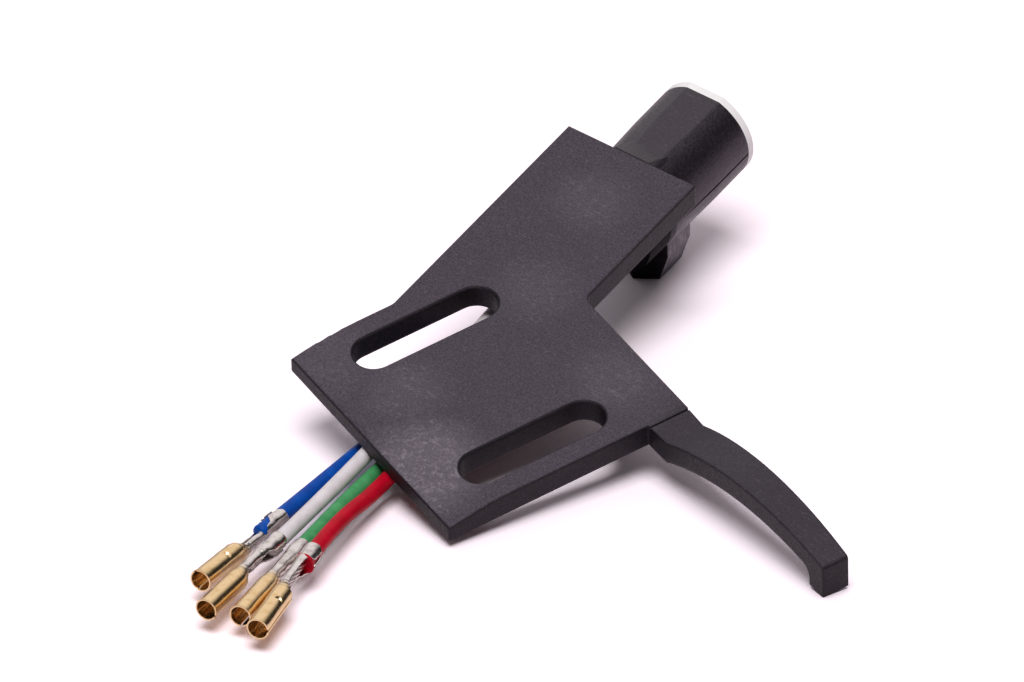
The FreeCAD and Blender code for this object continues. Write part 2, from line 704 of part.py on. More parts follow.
def make_terminal_block():
    """Insert in the tube's bore, with a rim that closes the tube's rear end."""
    body = new_body("terminal_block")
    rim = round_section(body, "RimSection", "0", "Sizes.tube_radius", size("tube_radius"))
    pad(body, "Rim", rim, "Sizes.rim_thick")
    flat_cut(body, "RimFlat", "0", "Sizes.rim_thick")
    core_radius = "Sizes.bore_radius - Sizes.fit_gap"
    core = round_section(body, "CoreSection", "Sizes.rim_thick", core_radius, size("bore_radius"))
    pad(body, "Core", core, "Sizes.terminal_front - Sizes.rim_thick")
    holes = new_sketch(body, "PinHoles", "XZ_Plane")
    half = size("pin_spacing") / 2
    for name, lead in LEADS.items():
        right, up = lead["side"]
        hole = circle(holes, size("pin_radius"), (right * half, up * half))
        across = (-1, 1, hole, 3) if right > 0 else (hole, 3, -1, 1)
        rise = (-1, 1, hole, 3) if up > 0 else (hole, 3, -1, 1)
        dimension(holes, name + "Across", "Sizes.pin_spacing / 2", "DistanceX", *across, half)
        dimension(holes, name + "Rise", "Sizes.pin_spacing / 2", "DistanceY", *rise, half)
        dimension(holes, name + "Hole", "Sizes.pin_radius + Sizes.fit_gap",
                  "Radius", hole, size("pin_radius"))
    pocket(body, "PinBores", holes, "Sizes.terminal_front", reverse=True)
    return body


def make_pin(name):
    """Contact pin with a bevelled tip behind the rim and a tail in front of the block."""
    body = new_body("contact_pin_" + name)
    sketch = new_sketch(body, "PinProfile", "YZ_Plane")
    radius = size("pin_radius")
    bevel = size("pin_bevel")
    tail = -size("terminal_front") - size("pin_tail")
    tip = size("pin_tip")
    axis, end, side, slope, nose = outline(sketch, [
        (tip, 0), (tail, 0), (tail, radius), (tip - bevel, radius), (tip, radius - bevel),
    ])
    relate(sketch, "PointOnObject", axis, 1, -1)
    relate(sketch, "Horizontal", axis)
    relate(sketch, "Vertical", end)
    relate(sketch, "Horizontal", side)
    relate(sketch, "Vertical", nose)
    dimension(sketch, "tip", "Sizes.pin_tip", "DistanceX", -1, 1, axis, 1, tip)
    dimension(sketch, "tail", "Sizes.terminal_front + Sizes.pin_tail", "DistanceX", axis, 2, -1, 1, -tail)
    dimension(sketch, "radius", "Sizes.pin_radius", "DistanceY", end, 1, end, 2, radius)
    dimension(sketch, "bevelRun", "Sizes.pin_bevel", "DistanceX", slope, 1, slope, 2, bevel)
    dimension(sketch, "bevelDrop", "Sizes.pin_bevel", "DistanceY", slope, 2, slope, 1, bevel)
    turned = body.newObject("PartDesign::Revolution", "PinTurned")
    turned.Profile = sketch
    turned.ReferenceAxis = (sketch, ["H_Axis"])
    turned.Angle = 360
    right, up = LEADS[name]["side"]
    body.setExpression("Placement.Base.x", "%d * Sizes.pin_spacing / 2" % right)
    body.setExpression("Placement.Base.z", "%d * Sizes.pin_spacing / 2" % up)
    doc.recompute()
    return body


def route_points(name):
    """The lead's route; its first run leaves the pin's tail straight, wherever that stands."""
    right, up = LEADS[name]["side"]
    half = size("pin_spacing") / 2
    tail = Vector(right * half, -size("terminal_front") - size("pin_tail"), up * half)
    points = [Vector(*point) for point in LEADS[name]["route"]]
    points[0] = tail
    points[1] = Vector(tail.x, points[1].y, tail.z)
    return points


def rounded_path(points):
    """Straight runs joined by tangent arcs as large as the runs allow, with the arcs' radii."""
    edges = []
    radii = []
    start = points[0]
    for before, corner, after in zip(points, points[1:], points[2:]):
        coming = (corner - before).normalize()
        going = (after - corner).normalize()
        half_turn = coming.getAngle(going) / 2
        tangent = ARC_SHARE * min((corner - before).Length, (after - corner).Length)
        radius = tangent / math.tan(half_turn)
        inward = (going - coming).normalize()
        first = corner - coming * tangent
        middle = corner + inward * (radius / math.cos(half_turn) - radius)
        last = corner + going * tangent
        edges.append(Part.LineSegment(start, first).toShape())
        edges.append(Part.Arc(first, middle, last).toShape())
        radii.append(radius)
        start = last
    edges.append(Part.LineSegment(start, points[-1]).toShape())
    return Part.Wire(edges), radii


def make_lead(name):
    """Insulated lead from the pin's tail to its stub in the clip."""
    points = route_points(name)
    path, radii = rounded_path(points)
    section = Part.Wire(Part.makeCircle(size("lead_radius"), points[0], points[1] - points[0]))
    lead = doc.addObject("Part::Feature", "lead_" + name)
    lead.Label = "lead_" + name
    lead.Shape = path.makePipeShell([section], True, False)
    ideal = math.pi * size("lead_radius") ** 2 * path.Length
    print(lead.Label, "length %.2f" % path.Length, "volume ratio %.4f" % (lead.Shape.Volume / ideal),
          "radii", [round(radius, 1) for radius in radii])
    return lead


def clip_placement(name):
    """The clip's frame: origin at the mouth, +Y back along the lead's last run."""
    points = route_points(name)
    back = (points[-2] - points[-1]).normalize()
    stub = size("clip_length") - size("cover_crimp") - size("lead_stub")
    turn = Rotation(Vector(0, 1, 0), back)
    roll = Rotation(Vector(0, 1, 0), LEADS[name]["roll"])
    return Placement(points[-1] - back * stub, turn.multiply(roll))


def rolled_section(body, name, start, radius, wall, gap, lift):
    """Section of rolled sheet: a ring open at the top by the gap."""
    sketch = new_sketch(body, name + "Section", "XZ_Plane", "-(%s)" % start)
    outer_radius, outer_rule = radius
    inner_radius = outer_radius - wall
    centre, centre_rule = lift
    half, gap_rule = gap
    sides = []
    arcs = []
    for ring_radius in (outer_radius, inner_radius):
        turn = math.acos(half / ring_radius)
        ring = Part.Circle(Vector(0, -centre, 0), Vector(0, 0, 1), ring_radius)
        arcs.append(sketch.addGeometry(Part.ArcOfCircle(ring, math.pi - turn, 2 * math.pi + turn)))
    outer, inner = arcs
    for end, sign in ((1, -1), (2, 1)):
        ends = []
        for ring_radius in (outer_radius, inner_radius):
            rise = math.sqrt(ring_radius ** 2 - half ** 2)
            ends.append((sign * half, rise - centre))
        side = line(sketch, *ends)
        relate(sketch, "Coincident", side, 1, outer, end)
        relate(sketch, "Coincident", side, 2, inner, end)
        relate(sketch, "Vertical", side)
        sides.append(side)
    relate(sketch, "Coincident", outer, 3, inner, 3)
    relate(sketch, "PointOnObject", outer, 3, -2)
    if centre_rule:
        dimension(sketch, "centre", centre_rule, "DistanceY", outer, 3, -1, 1, centre)
    else:
        relate(sketch, "PointOnObject", outer, 3, -1)
    dimension(sketch, "outer", outer_rule, "Radius", outer, outer_radius)
    dimension(sketch, "inner", outer_rule + " - Sizes.clip_sheet", "Radius", inner, inner_radius)
    dimension(sketch, "gapLeft", gap_rule, "DistanceX", sides[0], 1, -1, 1, half)
    dimension(sketch, "gapRight", gap_rule, "DistanceX", -1, 1, sides[1], 1, half)
    return sketch


def flat_strip(body, name, start, radius, wall, half):
    """Section of the flat strip that joins the rolled ends of a clip along its bottom."""
    sketch = new_sketch(body, name + "Section", "XZ_Plane", "-(%s)" % start)
    outer, outer_rule = radius
    side, side_rule = half
    foot, right, head, left = outline(sketch, [
        (-side, -outer), (side, -outer), (side, wall - outer), (-side, wall - outer),
    ])
    relate(sketch, "Horizontal", head)
    for upright in (right, left):
        relate(sketch, "Vertical", upright)
    relate(sketch, "Symmetric", foot, 1, foot, 2, -2)
    dimension(sketch, "half", side_rule, "DistanceX", -1, 1, foot, 2, side)
    dimension(sketch, "low", outer_rule, "DistanceY", foot, 1, -1, 1, outer)
    dimension(sketch, "sheet", "Sizes.clip_sheet", "DistanceY", right, 1, right, 2, wall)
    return sketch


def make_clip(name):
    """Push-on clip stamped from one strip: barrel, spine, crimp on the strands, crimp on the cover."""
    body = new_body("clip_" + name)
    wall = size("clip_sheet")
    radius = (
        size("lead_radius") + size("clip_gap") + wall,
        "Sizes.lead_radius + Sizes.clip_gap + Sizes.clip_sheet",
    )
    crimp = (
        size("strand_radius") + size("clip_gap") + wall,
        "Sizes.strand_radius + Sizes.clip_gap + Sizes.clip_sheet",
    )
    mouth = (size("barrel_radius"), "Sizes.barrel_radius")
    seam = (size("barrel_seam") / 2, "Sizes.barrel_seam / 2")
    spine = (size("spine_width") / 2, "Sizes.spine_width / 2")
    level = (0, None)
    sunk = (strand_drop(), STRAND_DROP)
    covered = "Sizes.clip_length - Sizes.cover_crimp"
    barrel = rolled_section(body, "Barrel", "0", mouth, wall, seam, level)
    pad(body, "Barrel", barrel, "Sizes.barrel_length", reverse=True)
    strip = flat_strip(body, "Spine", "Sizes.barrel_length", radius, wall, spine)
    pad(body, "Spine", strip, covered + " - Sizes.barrel_length", reverse=True)
    cover = rolled_section(body, "CoverCrimp", covered, radius, wall, seam, level)
    pad(body, "CoverCrimp", cover, "Sizes.cover_crimp", reverse=True)
    wire = rolled_section(body, "WireCrimp", "Sizes.wire_crimp_place", crimp, wall, seam, sunk)
    pad(body, "WireCrimp", wire, "Sizes.wire_crimp", reverse=True)
    body.Placement = clip_placement(name)
    doc.recompute()
    return body


# The strands lie lower than the lead's axis, on the spine: the crimp's wall sinks a third into it.
STRAND_DROP = "Sizes.lead_radius - Sizes.strand_radius - Sizes.clip_sheet / 3"


def strand_drop():
    return size("lead_radius") - size("strand_radius") - size("clip_sheet") / 3


def make_strands(name):
    """Bare strands from the end of the lead's cover through the crimp."""
    strands = doc.addObject("Part::Cylinder", "strands_" + name)
    strands.Label = "strands_" + name
    strands.setExpression("Radius", "Sizes.strand_radius")
    strands.setExpression("Height", "Sizes.strand_reach")
    stub = size("clip_length") - size("cover_crimp") - size("lead_stub")
    along = Placement(Vector(0, stub, -strand_drop()), Rotation(Vector(0, 0, 1), Vector(0, -1, 0)))
    strands.Placement = clip_placement(name).multiply(along)
    return strands


parts = [make_headshell(), make_terminal_block()]
for lead_name in LEADS:
    parts += [make_pin(lead_name), make_lead(lead_name), make_clip(lead_name), make_strands(lead_name)]
doc.recompute()

for item in doc.Objects:
    if "Invalid" in item.State or "Error" in item.State:
        raise RuntimeError("%s failed: %s" % (item.Name, item.State))
for item in parts:
    if item.Shape.isNull() or not item.Shape.isValid() or len(item.Shape.Solids) != 1:
        raise RuntimeError(item.Label + " is not one valid solid")

os.makedirs("parts", exist_ok=True)
for item in parts:
    item.Shape.exportStep("parts/%s.step" % item.Label)
    print(item.Label, "volume %.3f" % item.Shape.Volume)
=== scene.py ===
import bpy
import bmesh
import math
from mathutils import Matrix, Quaternion, Vector
from mathutils import noise as fieldNoise


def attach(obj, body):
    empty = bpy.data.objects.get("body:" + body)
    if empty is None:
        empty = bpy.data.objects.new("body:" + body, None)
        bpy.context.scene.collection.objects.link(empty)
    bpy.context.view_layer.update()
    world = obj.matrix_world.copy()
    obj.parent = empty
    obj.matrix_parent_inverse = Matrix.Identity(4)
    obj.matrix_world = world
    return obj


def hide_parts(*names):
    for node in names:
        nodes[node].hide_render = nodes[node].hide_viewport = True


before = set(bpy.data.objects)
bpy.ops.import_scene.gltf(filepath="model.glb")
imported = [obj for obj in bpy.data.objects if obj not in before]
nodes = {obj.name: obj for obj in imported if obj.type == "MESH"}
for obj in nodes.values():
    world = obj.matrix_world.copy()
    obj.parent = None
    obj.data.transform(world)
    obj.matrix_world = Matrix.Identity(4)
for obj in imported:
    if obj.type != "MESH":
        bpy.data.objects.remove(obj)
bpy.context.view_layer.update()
mm = 0.001
print("frame loaded:", len(nodes), "nodes")

# camera at the photograph's view: angles in degrees, lens and lengths in mm
shot = {
    "azimuth": 36.168,
    "elevation": 45.169,
    "roll": -1.492,
    "aim": (3.371, -27.336, 4.49),
    "distance": 1043.35,
    "lens": 562.5,
    "farthest": 20000,
}


def viewDirection(spec):
    turn = math.radians(spec["azimuth"])
    rise = math.radians(spec["elevation"])
    return Vector((math.sin(turn) * math.cos(rise), -math.cos(turn) * math.cos(rise), math.sin(rise)))


def placeCamera(spec):
    back = viewDirection(spec)
    lensData = bpy.data.cameras.new("photoCamera")
    lensData.lens = spec["lens"]
    lensData.clip_end = spec["farthest"] * mm
    camera = bpy.data.objects.new("photoCamera", lensData)
    camera.location = (Vector(spec["aim"]) + back * spec["distance"]) * mm
    camera.rotation_mode = "QUATERNION"
    level = back.to_track_quat("Z", "Y")
    camera.rotation_quaternion = level @ Quaternion((0, 0, 1), math.radians(spec["roll"]))
    bpy.context.scene.collection.objects.link(camera)
    bpy.context.scene.camera = camera


placeCamera(shot)
print("camera placed")

# the four leads, in mm and degrees: length of the wire, its route from the pin's tail to the clip, and
# how far the cut end of the cover stands from the route's last point, along the clip and up; then the
# roll of the clip about its axis, how far its wire crimp is closed and where its dimple is from the
# seam; last, how the cover is cut and its two shades
leads = {
    "blue": {
        "length": 39.2,
        "route": [
            (-1.20, -11.26, -1.20), (-1.20, -22.0, -1.20), (-1.22, -36.5, 0.30), (-0.56, -50.01, 3.62),
        ],
        "tip": (0.0, 0.04),
        "roll": -40,
        "closed": 150,
        "dimple": 50,
        "cut": "plain",
        "colour": (0.0005, 0.078, 0.42),
        "deep": (0.0003, 0.050, 0.31),
    },
    "white": {
        "length": 40.5,
        "route": [
            (-1.20, -11.26, 1.20), (-1.20, -22.0, 1.20), (-0.15, -37.8, 1.30), (1.41, -52.64, 4.70),
        ],
        "tip": (1.25, 0.0),
        "roll": 108,
        "closed": 160,
        "dimple": 95,
        "cut": "plain",
        "colour": (0.79, 0.74, 0.77),
        "deep": (0.68, 0.63, 0.66),
    },
    "green": {
        "length": 41.5,
        "route": [
            (1.20, -11.26, -1.20), (1.20, -22.0, -1.20), (1.05, -37.0, 1.00),
            (1.92, -45.69, 2.97), (3.13, -52.15, 4.69),
        ],
        "tip": (0.1, 0.1),
        "roll": 168,
        "closed": 165,
        "dimple": 70,
        "cut": "plain",
        "colour": (0.075, 0.35, 0.13),
        "deep": (0.045, 0.26, 0.09),
    },
    "red": {
        "length": 41.5,
        "route": [
            (1.20, -11.26, 1.20), (1.20, -26.0, 1.20), (2.62, -40.9, 1.90),
            (3.41, -47.36, 4.53), (4.72, -52.89, 5.67),
        ],
        "tip": (0.85, 0.0),
        "roll": 85,
        "closed": 116,
        "dimple": -62,
        "cut": "flared",
        "colour": (0.55, 0.0005, 0.018),
        "deep": (0.42, 0.0003, 0.012),
    },
}
# cover of a lead: its diameter in mm, the fineness of its mesh around and along, and the order of its curve
cover = {"diameter": 1.06, "around": 6, "along": 24, "order": 3}

# push-on clip rolled from one sheet: mm from its mouth back along the lead, seam on top; each station
# gives place, outer radius, foot below the axis and how far each wing wraps round, in degrees; within
# openSpan the wings close only as far as each lead says
clip = {
    "rows": 120,
    "columns": 44,
    "sheet": 0.12,
    "edge": 0.028,
    "edgeAngle": 63,  # sharper edges than this are rounded
    "leadEnd": 7.2,
    "goldEnd": 4.3,
    "tinStart": 5.4,
    "openSpan": (4.6, 8.1),
    "stations": [
        (0.0, 0.775, -0.765, 172),  # flared mouth
        (0.3, 0.745, -0.742, 174),
        (0.6, 0.74, -0.74, 174),  # barrel
        (4.0, 0.74, -0.74, 174),
        (4.2, 0.73, -0.735, 168),  # open neck
        (4.45, 0.68, -0.71, 134),
        (5.0, 0.56, -0.67, 114),
        (5.4, 0.47, -0.64, 128),
        (5.65, 0.445, -0.635, 168),  # wire crimp
        (6.8, 0.445, -0.635, 168),
        (7.0, 0.47, -0.64, 140),
        (7.35, 0.57, -0.66, 120),
        (7.9, 0.665, -0.675, 122),
        (8.1, 0.675, -0.675, 136),
        (8.4, 0.675, -0.675, 160),  # cover crimp
        (9.3, 0.675, -0.675, 160),
        (9.6, 0.675, -0.675, 132),
    ],
}
# half moon pressed into the barrel, in mm
dimple = {"place": 2.75, "radius": 0.3, "depth": 0.17, "lip": 0.04}
# unevenness of the sheet: depth in mm at the crimp and the barrel, seam in degrees, both pitches per mm,
# and how far apart the two wings are in the noise; without a seed noise_vector starts from the clock
waves = {
    "crimp": 0.045,
    "barrel": 0.012,
    "pitch": 1.3,
    "seam": 6,
    "seamPitch": 1.0,
    "wingApart": 3,
    "seed": 5,
}
fieldNoise.seed_set(waves["seed"])


def clipMatrix(spec):  # frame of a clip: origin at its mouth, Y back along the lead
    before, end = (Vector(point) for point in spec["route"][-2:])
    back = (before - end).normalized()
    turn = Vector((0, 1, 0)).rotation_difference(back) @ Quaternion((0, 1, 0), math.radians(spec["roll"]))
    origin = (end - back * clip["leadEnd"]) * mm
    return Matrix.Translation(origin) @ turn.to_matrix().to_4x4() @ Matrix.Scale(mm, 4)


def coverTip(spec):  # cut end of the cover
    before, end = (Vector(point) for point in spec["route"][-2:])
    along, up = spec["tip"]
    return end + (before - end).normalized() * along + Vector((0, 0, up))


def finishPiece(name, shape, matrix, sharp=40):  # place in the mesh, object at the origin
    bmesh.ops.transform(shape, matrix=matrix, verts=shape.verts)
    for face in shape.faces:
        face.smooth = True
    mesh = bpy.data.meshes.new(name)
    shape.to_mesh(mesh)
    shape.free()
    mesh.set_sharp_from_angle(angle=math.radians(sharp))
    piece = bpy.data.objects.new(name, mesh)
    bpy.context.scene.collection.objects.link(piece)
    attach(piece, "root")
    return piece


def smoothShare(value):
    value = min(max(value, 0), 1)
    return value * value * (3 - 2 * value)


def stationAt(along):  # radius, foot and wrap between the two stations beside a place
    stations = clip["stations"]
    for first, second in zip(stations, stations[1:]):
        if along <= second[0]:
            share = smoothShare((along - first[0]) / (second[0] - first[0]))
            return [one + (two - one) * share for one, two in zip(first[1:], second[1:])]
    return stations[-1][1:]


def rollSheet(vert, spec, shift):  # a point of the flat sheet, -1 to 1 across, goes to its place on the roll
    across, along = vert.co.x, vert.co.y
    radius, foot, wrap = stationAt(along)
    start, end = clip["openSpan"]
    if start < along < end:
        wrap = min(wrap, spec["closed"])
    if along > start:
        wing = math.copysign(waves["wingApart"], across)
        wrap += waves["seam"] * fieldNoise.noise((shift.x, along * waves["seamPitch"], wing))
    turn = math.radians(wrap) * across
    vert.co.x = radius * math.sin(turn)
    vert.co.z = foot + radius * (1 - math.cos(turn))


def pressDimple(vert, turn):  # hollow on the lead's side of its straight edge, a low lip on the other
    radius = math.hypot(vert.co.x, vert.co.z)
    around = math.atan2(vert.co.x, vert.co.z) - math.radians(turn)
    ahead = vert.co.y - dimple["place"]
    away = math.hypot(around * radius, ahead) / dimple["radius"]
    if away > 1:
        return
    if ahead >= 0:
        grow = -dimple["depth"] * (1 - away ** 2)
    else:
        grow = dimple["lip"] * (1 - away) ** 2
    vert.co.x *= (radius + grow) / radius
    vert.co.z *= (radius + grow) / radius


def pressClip(name, spec):
    shape = bmesh.new()
    shift = Vector(spec["route"][-1])  # each lead has its own stretch of the noise
    half = clip["stations"][-1][0] / 2
    bmesh.ops.create_grid(shape, x_segments=clip["columns"], y_segments=clip["rows"], size=1)
    bmesh.ops.scale(shape, vec=(1, half, 1), verts=shape.verts)
    bmesh.ops.translate(shape, vec=(0, half, 0), verts=shape.verts)
    for vert in shape.verts:
        rollSheet(vert, spec, shift)
    bmesh.ops.recalc_face_normals(shape, faces=shape.faces)
    lowest = min(shape.faces, key=lambda face: face.calc_center_median().z)
    if lowest.normal.z > 0:
        bmesh.ops.reverse_faces(shape, faces=shape.faces)
    bmesh.ops.solidify(shape, geom=shape.faces[:], thickness=clip["sheet"])
    sharp = math.radians(clip["edgeAngle"])
    rim = [edge for edge in shape.edges if len(edge.link_faces) == 2 and edge.calc_face_angle() > sharp]
    bmesh.ops.bevel(
        shape, geom=rim, offset=clip["edge"], offset_type="OFFSET", affect="EDGES", segments=2, profile=0.5,
        material=-1, clamp_overlap=True,
    )
    tinShare = shape.verts.layers.float.new("tinShare")
    for vert in shape.verts:
        along = vert.co.y
        vert[tinShare] = smoothShare((along - clip["goldEnd"]) / (clip["tinStart"] - clip["goldEnd"]))
        if along < clip["goldEnd"]:
            pressDimple(vert, spec["dimple"])
        depth = waves["barrel"] + (waves["crimp"] - waves["barrel"]) * vert[tinShare]
        vert.co += fieldNoise.noise_vector(vert.co * waves["pitch"] + shift) * depth
    piece = finishPiece("pushClip_" + name, shape, clipMatrix(spec))
    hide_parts("clip_" + name)
    return piece


# bare strands, six twisted round a straight one and lying on the clip's sheet: radii in mm of a wire and
# of the ring, mm from the clip's mouth to their start, tuck into the cover, twist in degrees per mm,
# steps per mm and the level of their middle
bundle = {
    "wire": 0.1,
    "ring": 0.195,
    "count": 6,
    "start": 5.1,
    "tuck": 0.2,
    "twist": 95,
    "steps": 14,
    "sides": 8,
    "level": -0.19,
    "sharp": 50,
}


def twistStrands(name, spec):
    shape = bmesh.new()
    run = clip["leadEnd"] + spec["tip"][0] + bundle["tuck"] - bundle["start"]
    steps = round(run * bundle["steps"])
    upright = Matrix.Rotation(math.radians(-90), 4, "X")
    for number in range(bundle["count"] + 1):
        ring = bundle["ring"] if number else 0
        around = number * 2 * math.pi / bundle["count"]
        place = Vector((ring * math.cos(around), bundle["start"], bundle["level"] + ring * math.sin(around)))
        section = bmesh.ops.create_circle(
            shape, cap_ends=True, radius=bundle["wire"], segments=bundle["sides"],
            matrix=Matrix.Translation(place) @ upright,
        )
        loop = dict.fromkeys(edge for vert in section["verts"] for edge in vert.link_edges)
        twisted = bmesh.ops.spin(
            shape, geom=list(loop) + section["verts"], cent=(0, 0, bundle["level"]), axis=(0, 1, 0),
            dvec=(0, run / steps, 0), angle=math.radians(bundle["twist"] * run), steps=steps,
            use_merge=False, use_duplicate=False,
        )
        last = [item for item in twisted["geom_last"] if isinstance(item, bmesh.types.BMEdge)]
        bmesh.ops.contextual_create(shape, geom=last)
    bmesh.ops.recalc_face_normals(shape, faces=shape.faces)
    piece = finishPiece("twistedStrands_" + name, shape, clipMatrix(spec), bundle["sharp"])
    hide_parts("strands_" + name)
    return piece


# cut ends of the covers, in mm: profile as radius and place back from the lead's end, slant of the cut and
# how far it is lifted
cuts = {
    "plain": {
        "profile": [(0.53, 0.12), (0.53, 0.0), (0.49, -0.13), (0.38, -0.22), (0.2, -0.26), (0, -0.27)],
        "slant": 0.04,
        "lift": 0.05,
    },
    "flared": {
        "profile": [
            (0.53, 0.5), (0.57, 0.3), (0.66, 0.14), (0.70, 0.02), (0.66, -0.06), (0.5, -0.06), (0.3, -0.02),
            (0, 0),
        ],
        "slant": 0.32,
        "lift": 0.0,
    },
}
# steps around, merging distance, the stretch over which an end comes free of its lead, and its roughness
coverEnd = {"steps": 32, "merge": 0.001, "blend": 0.25, "rough": 0.03, "pitch": 2, "sharp": 60}


def turnCoverEnd(name, spec):
    cut = cuts[spec["cut"]]
    shape = bmesh.new()
    chain = [shape.verts.new((radius, along, 0)) for radius, along in cut["profile"]]
    edges = [shape.edges.new(pair) for pair in zip(chain, chain[1:])]
    bmesh.ops.spin(
        shape, geom=chain + edges, cent=(0, 0, 0), axis=(0, 1, 0), angle=2 * math.pi, steps=coverEnd["steps"],
        use_merge=True, use_duplicate=False,
    )
    bmesh.ops.remove_doubles(shape, verts=shape.verts, dist=coverEnd["merge"])
    bmesh.ops.recalc_face_normals(shape, faces=shape.faces)
    shift = Vector(spec["route"][-1])  # each lead has its own stretch of the noise
    rear = cut["profile"][0][1]
    for vert in shape.verts:
        free = smoothShare((rear - vert.co.y) / coverEnd["blend"])
        vert.co += fieldNoise.noise_vector(vert.co * coverEnd["pitch"] + shift) * coverEnd["rough"] * free
        vert.co.y -= cut["slant"] * vert.co.x * free
        vert.co.z += cut["lift"] * free
    before, end = Vector(spec["route"][-2]), coverTip(spec)
    turn = Vector((0, 1, 0)).rotation_difference(before - end).to_matrix().to_4x4()
    matrix = Matrix.Translation(end * mm) @ turn @ Matrix.Scale(mm, 4)
    piece = finishPiece("coverEnd_" + name, shape, matrix, coverEnd["sharp"])
    return piece


def layLead(name, spec):
    curve = bpy.data.curves.new("wire_" + name, "CURVE")
    curve.dimensions = "3D"
    curve.bevel_depth = 1  # each point's radius scales it
    curve.bevel_resolution = cover["around"]
    curve.use_fill_caps = True
    spline = curve.splines.new("NURBS")
    points = spec["route"][:-1] + [coverTip(spec)]
    spline.points.add(len(points) - 1)
    for point, place in zip(spline.points, points):
        point.co = (*(Vector(place) * mm), 1)
        point.radius = cover["diameter"] / 2 * mm
    spline.order_u = cover["order"]
    spline.use_endpoint_u = True
    spline.resolution_u = cover["along"]
    wire = bpy.data.objects.new("wire_" + name, curve)
    bpy.context.scene.collection.objects.link(wire)
    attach(wire, "root")
    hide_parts("lead_" + name)
    return wire


clips = {name: pressClip(name, spec) for name, spec in leads.items()}
bundles = {name: twistStrands(name, spec) for name, spec in leads.items()}
coverEnds = {name: turnCoverEnd(name, spec) for name, spec in leads.items()}
print("clips pressed:", len(clips), "faces in one:", len(clips["blue"].data.polygons))
wires = {}
for name, spec in leads.items():
    wires[name] = layLead(name, spec)
print("leads laid:", len(wires))


# node helpers
def startMaterial(name):
    material = bpy.data.materials.new(name)
    material.use_nodes = True
    return material, material.node_tree, material.node_tree.nodes["Principled BSDF"]


def addNode(tree, kind, inputs=None, **settings):
    node = tree.nodes.new(kind)
    for key, value in settings.items():
        setattr(node, key, value)
    for key, value in (inputs or {}).items():
        if isinstance(value, bpy.types.NodeSocket):
            tree.links.new(value, node.inputs[key])
        else:
            node.inputs[key].default_value = value
    return node


def objectMm(tree, turn=(0, 0, 0), stretch=(1, 1, 1)):  # object coordinates in mm, turned and stretched
    place = addNode(tree, "ShaderNodeTexCoord").outputs["Object"]
    scale = tuple(value / mm for value in stretch)
    return addNode(tree, "ShaderNodeMapping", {"Vector": place, "Rotation": turn, "Scale": scale}).outputs[0]


def noise(tree, where, scale, detail, rough=0.55, warp=0.0):
    inputs = {"Vector": where, "Scale": scale, "Detail": detail, "Roughness": rough, "Distortion": warp}
    return addNode(tree, "ShaderNodeTexNoise", inputs).outputs["Fac"]


def between(tree, value, low, high, start=0.0, end=1.0):  # soft step of value from low to high
    inputs = {"Value": value, "From Min": low, "From Max": high, "To Min": start, "To Max": end}
    return addNode(tree, "ShaderNodeMapRange", inputs, interpolation_type="SMOOTHSTEP").outputs[0]


def fading(tree, value, low, high):  # 1 up to low, 0 from high
    return between(tree, value, low, high, 1.0, 0.0)


def spread(tree, mask, start, end):  # start where the mask is 0, end where it is 1
    return between(tree, mask, 0.0, 1.0, start, end)


def maths(tree, operation, first, second=0.0):
    return addNode(tree, "ShaderNodeMath", {0: first, 1: second}, operation=operation).outputs[0]


def product(tree, first, second):
    return maths(tree, "MULTIPLY", first, second)


def largest(tree, masks):
    most = masks[0]
    for mask in masks[1:]:
        most = maths(tree, "MAXIMUM", most, mask)
    return most


def blendValue(tree, share, first, second):
    return addNode(tree, "ShaderNodeMix", {0: share, 2: first, 3: second}).outputs[0]


def blendColour(tree, share, first, second):
    inputs = {0: share}
    for key, value in ((6, first), (7, second)):
        inputs[key] = (*value, 1) if isinstance(value, tuple) else value
    return addNode(tree, "ShaderNodeMix", inputs, data_type="RGBA").outputs[2]


def bumped(tree, height, depth, strength, below=None):
    inputs = {"Height": height, "Distance": depth * mm, "Strength": strength}
    if below:
        inputs["Normal"] = below
    return addNode(tree, "ShaderNodeBump", inputs).outputs[0]


def nearPlace(tree, where, place, near, far):  # 1 around a place in mm, falling to 0
    inputs = {0: where, 1: place}
    distance = addNode(tree, "ShaderNodeVectorMath", inputs, operation="DISTANCE").outputs["Value"]
    return fading(tree, distance, near, far)


def feed(tree, shader, **sockets):
    for key, value in sockets.items():
        tree.links.new(value, shader.inputs[key.replace("_", " ")])


# In the finishes below a Noise is its scale per mm, detail, roughness and warp. A Step is where a soft
# step starts and ends, and a Share is how much there is at its two ends. A Bump is its depth in mm and
# its strength.

